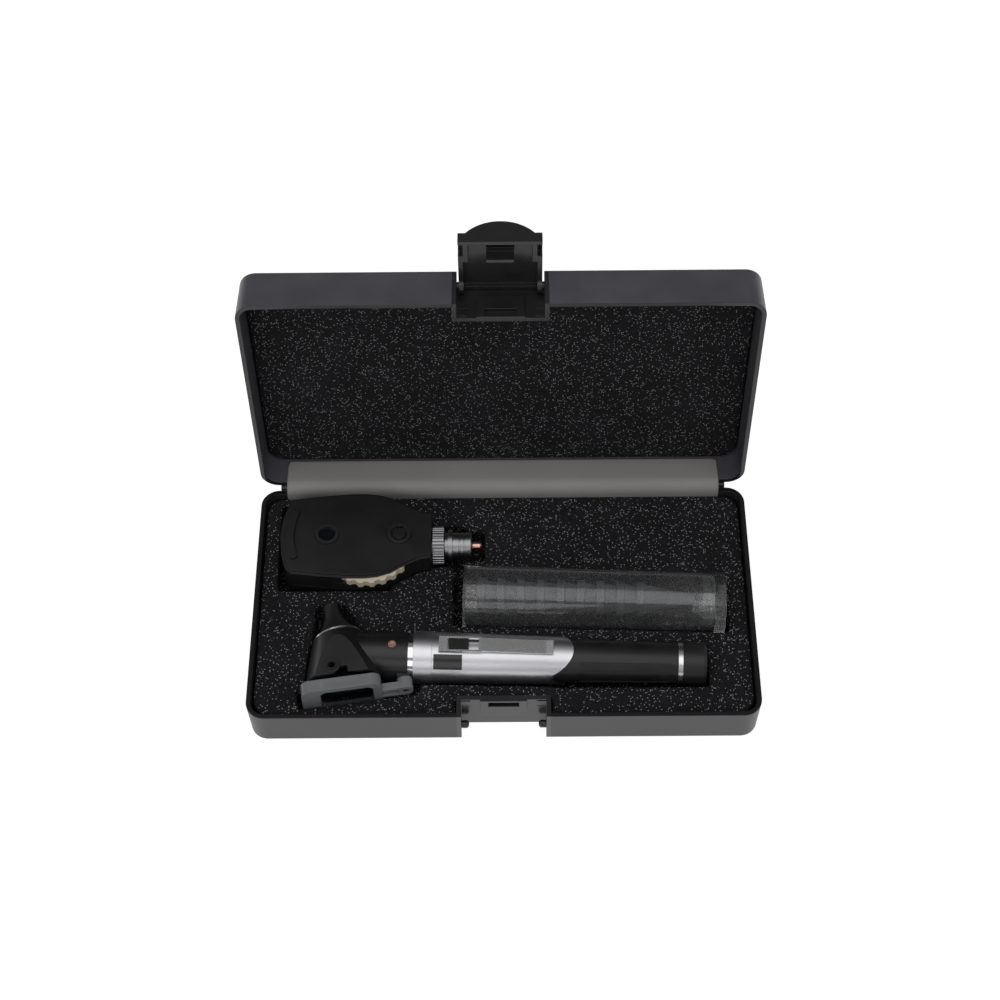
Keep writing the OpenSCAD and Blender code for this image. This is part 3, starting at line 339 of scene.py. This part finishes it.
TRAY_FOAM = ["foam_floor", "foam_pads_outer", "foam_pads_inner",
             "foam_tray", "foam_tray_blocks", "foam_tray_wedges"]
NODE_FINISH = {
    "base plastic": ["base_shell"],
    "lid plastic painted light": ["lid_shell"],
    "polished black": ["latch", "base_recess", "lid_recess"],
    "soft black": ["head_shell", "oph_front_shell", "oph_rear_shell", "filter_knob", "brow_rest",
                   "insufflation_port"],
    "cup black": ["filter_bezel", "aperture_bezel"],
    "satin black": ["magnifier_post", "switch_button", "end_cap", "connector_insulator"],
    "grip black": ["handle_grip"],
    "window black": ["switch_window"],
    "speculum plastic": ["speculum"],
    "specula grey": ["nested_specula"],
    "satin aluminium": ["handle_collar", "handle_sleeve"],
    "satin chrome": ["trim_ring", "speculum_ring", "pocket_clip"],
    "bright chrome": ["neck_ring", "oph_mirror"],
    "machined steel": ["hinge_pins", "otoscope_lamp", "battery_spring", "wheel_axle", "oph_lamp",
                       "knurled_ring", "connector_barrel"],
    "copper": ["contact_pin", "connector_pin", "head_screw"],
    "cloudy acrylic": ["magnifier_frame"],
    "clear acrylic": ["magnifier_lens"],
    "tube plastic": ["specula_tube", "tube_cap"],
    "smoked glass": ["aperture_glass"],
    "fibre ends": ["lamp_fibre_ring"],
    "cell sleeve": ["battery_cells"],
    "foam": ["lid_foam", *TRAY_FOAM],
    "hinge vinyl": ["strip_base_flap", "strip_bend", "strip_lid_flap"],
    "ivory": ["lens_wheel"],
}


def dress(obj, finish):
    """Gives a piece one finish."""
    obj.data.materials.clear()
    obj.data.materials.append(FINISHES[finish])


for finish, members in NODE_FINISH.items():
    for member in members:
        dress(nodes[member], finish)


# ---------------------------------------------------------------- making pieces

def new_piece(name, bm, finish):
    """A new object made from bm, which is used up."""
    mesh = bpy.data.meshes.new(name)
    bm.to_mesh(mesh)
    bm.free()
    obj = bpy.data.objects.new(name, mesh)
    bpy.context.scene.collection.objects.link(obj)
    dress(obj, finish)
    return obj


def applied(obj):
    """The mesh with its modifiers made real, and the modifiers gone."""
    bpy.context.view_layer.update()
    mesh = bpy.data.meshes.new_from_object(obj.evaluated_get(bpy.context.evaluated_depsgraph_get()))
    obj.modifiers.clear()
    old = obj.data
    obj.data = mesh
    if old.users == 0:
        bpy.data.meshes.remove(old)
    return obj


def foam_sheet(name, members, body):
    """Die-cut foam: the blocks grow into one sheet whose cut edges crumble round."""
    bm = bmesh.new()
    for member in members:
        bm.from_mesh(nodes[member].data)
    obj = new_piece(name, bm, "foam")
    remesh = obj.modifiers.new("felted", "REMESH")
    remesh.mode = "VOXEL"
    remesh.voxel_size = FOAM_VOXEL * MM
    smooth = obj.modifiers.new("eased", "SMOOTH")
    smooth.factor = 0.5
    smooth.iterations = 2
    rough = obj.modifiers.new("cells", "DISPLACE")
    cells = bpy.data.textures.new(name + "_cells", "CLOUDS")
    cells.noise_scale = FOAM_CLOUD * MM
    rough.texture = cells
    rough.texture_coords = "LOCAL"
    rough.strength = FOAM_UNEVEN * MM
    applied(obj)
    for face in obj.data.polygons:
        face.use_smooth = True
    dress(obj, "foam")
    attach(obj, body)
    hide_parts(*members)
    return obj


def hinge_strip():
    """Vinyl strip from behind the base foam, over the hinge and up the lid's inner wall."""
    line = [(52.2, 13.4), (52.3, 15.4), (52.32, 17.4), (52.36, 18.7), (52.62, 20.0), (53.2, 21.1),
            (54.1, 22.0), (55.3, 22.6), (56.5, 22.95), (57.6, 23.0), (59.5, 22.86), (62.0, 22.7),
            (64.5, 22.53), (67.9, 22.3)]
    bm = bmesh.new()
    rows = []
    for y, z in line:
        row = []
        for i in range(STRIP_COLUMNS):
            x = -STRIP_HALF_WIDTH + 2 * STRIP_HALF_WIDTH * i / (STRIP_COLUMNS - 1)
            sag = STRIP_SAG * math.sin(x * 0.21) * math.exp(-((y - 55) / 4) ** 2)
            row.append(bm.verts.new(mm(x, y + sag * 0.4, z - abs(sag))))
        rows.append(row)
    for low, high in zip(rows, rows[1:]):
        for i in range(STRIP_COLUMNS - 1):
            bm.faces.new((low[i], low[i + 1], high[i + 1], high[i]))
    bmesh.ops.recalc_face_normals(bm, faces=bm.faces)
    strip = new_piece("hinge_strip", bm, "hinge vinyl")
    solid = strip.modifiers.new("thickness", "SOLIDIFY")
    solid.thickness = STRIP_THICKNESS * MM
    solid.offset = 0
    round_off = strip.modifiers.new("rolled", "SUBSURF")
    round_off.levels = round_off.render_levels = 1
    applied(strip)
    for face in strip.data.polygons:
        face.use_smooth = True
    dress(strip, "hinge vinyl")
    length = sum(math.dist(a, b) for a, b in zip(line, line[1:]))
    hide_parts("strip_base_flap", "strip_bend", "strip_lid_flap")
    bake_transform(strip)
    length * MM
    return strip


# ---------------------------------------------------------------- the case

foam_sheet("foam_tray_cut", TRAY_FOAM, "base")
foam_sheet("lid_foam_cut", ["lid_foam"], "lid")
hinge_strip()

# ---------------------------------------------------------------- floor, light and camera

def white_floor():
    """A white sheet that keeps the case's soft shadow."""
    f = Finish("white_floor")
    path = f.node("ShaderNodeLightPath", out="Is Camera Ray")
    glossy = f.node("ShaderNodeLightPath", out="Is Glossy Ray")
    through = f.node("ShaderNodeLightPath", out="Is Transmission Ray")
    seen = (path + glossy + through).sum("MINIMUM", 1.0)
    matt = f.node("ShaderNodeBsdfDiffuse", {}, {"Color": (0.8, 0.8, 0.8, 1)})
    veil = f.node("ShaderNodeEmission", {}, {"Color": (1, 1, 1, 1), "Strength": FLOOR_GLOW})
    shade = f.node("ShaderNodeBsdfDiffuse", {}, {"Color": (0.4, 0.4, 0.4, 1)})
    lit = f.node("ShaderNodeAddShader", {}, {0: veil, 1: shade})
    mixed = f.node("ShaderNodeMixShader", {}, {0: seen, 1: matt, 2: lit})
    f.node("ShaderNodeOutputMaterial", {}, {"Surface": mixed})
    bm = bmesh.new()
    bmesh.ops.create_grid(bm, x_segments=1, y_segments=1, size=FLOOR_SIZE)
    mesh = bpy.data.meshes.new("floor")
    bm.to_mesh(mesh)
    bm.free()
    floor = bpy.data.objects.new("floor", mesh)
    mesh.materials.append(f.material)
    bpy.context.scene.collection.objects.link(floor)


def softbox(name, place, aim, size, power):
    """A square lamp that faces a point."""
    data = bpy.data.lights.new(name, "AREA")
    data.shape = "RECTANGLE"
    data.size, data.size_y = size
    data.energy = power
    lamp = bpy.data.objects.new(name, data)
    bpy.context.scene.collection.objects.link(lamp)
    lamp.location = place
    lamp.rotation_euler = (Vector(aim) - Vector(place)).to_track_quat("-Z", "Y").to_euler()
    return lamp


def studio():
    """White surroundings, a large overhead softbox and two weaker ones."""
    world = bpy.data.worlds.new("studio")
    bpy.context.scene.world = world
    world.use_nodes = True
    tree = world.node_tree
    tree.nodes.clear()
    path = tree.nodes.new("ShaderNodeLightPath")
    plain = tree.nodes.new("ShaderNodeBackground")
    plain.inputs["Color"].default_value = (1, 1, 1, 1)
    plain.inputs["Strength"].default_value = WORLD_LIGHT
    seen = tree.nodes.new("ShaderNodeBackground")
    seen.inputs["Color"].default_value = (1, 1, 1, 1)
    seen.inputs["Strength"].default_value = 1.0
    mix = tree.nodes.new("ShaderNodeMixShader")
    out = tree.nodes.new("ShaderNodeOutputWorld")
    tree.links.new(path.outputs["Is Camera Ray"], mix.inputs[0])
    tree.links.new(plain.outputs[0], mix.inputs[1])
    tree.links.new(seen.outputs[0], mix.inputs[2])
    tree.links.new(mix.outputs[0], out.inputs[0])
    softbox("overhead_softbox", (-0.1, -0.15, 1.0), (0, 0, 0.02), (1.3, 0.8), 3.6)
    softbox("front_softbox", (-0.35, -0.85, 0.55), (0, 0, 0.03), (0.8, 0.5), 1.5)
    softbox("right_softbox", (0.8, -0.1, 0.5), (0, 0, 0.03), (0.45, 0.45), 0.7)


def photo_camera():
    """The camera at the photograph's place, from a fit to the case's edges."""
    yaw, pitch, roll = (math.radians(a) for a in CAMERA_ANGLES)
    forward = Vector((math.sin(yaw) * math.cos(pitch), math.cos(yaw) * math.cos(pitch), -math.sin(pitch)))
    right = Vector((math.cos(yaw), -math.sin(yaw), 0))
    up = right.cross(forward)
    c, s = math.cos(roll), math.sin(roll)
    axes = Matrix((c * right + s * up, -s * right + c * up, -forward)).transposed()
    data = bpy.data.cameras.new("photo_camera")
    data.lens = CAMERA_LENS
    data.sensor_width = 36
    data.sensor_fit = "HORIZONTAL"
    data.clip_start = 0.01
    camera = bpy.data.objects.new("photo_camera", data)
    bpy.context.scene.collection.objects.link(camera)
    camera.matrix_world = Matrix.Translation(mm(*CAMERA_PLACE)) @ axes.to_4x4()
    bpy.context.scene.camera = camera


white_floor()
studio()
photo_camera()
bpy.context.scene.view_settings.view_transform = "Standard"
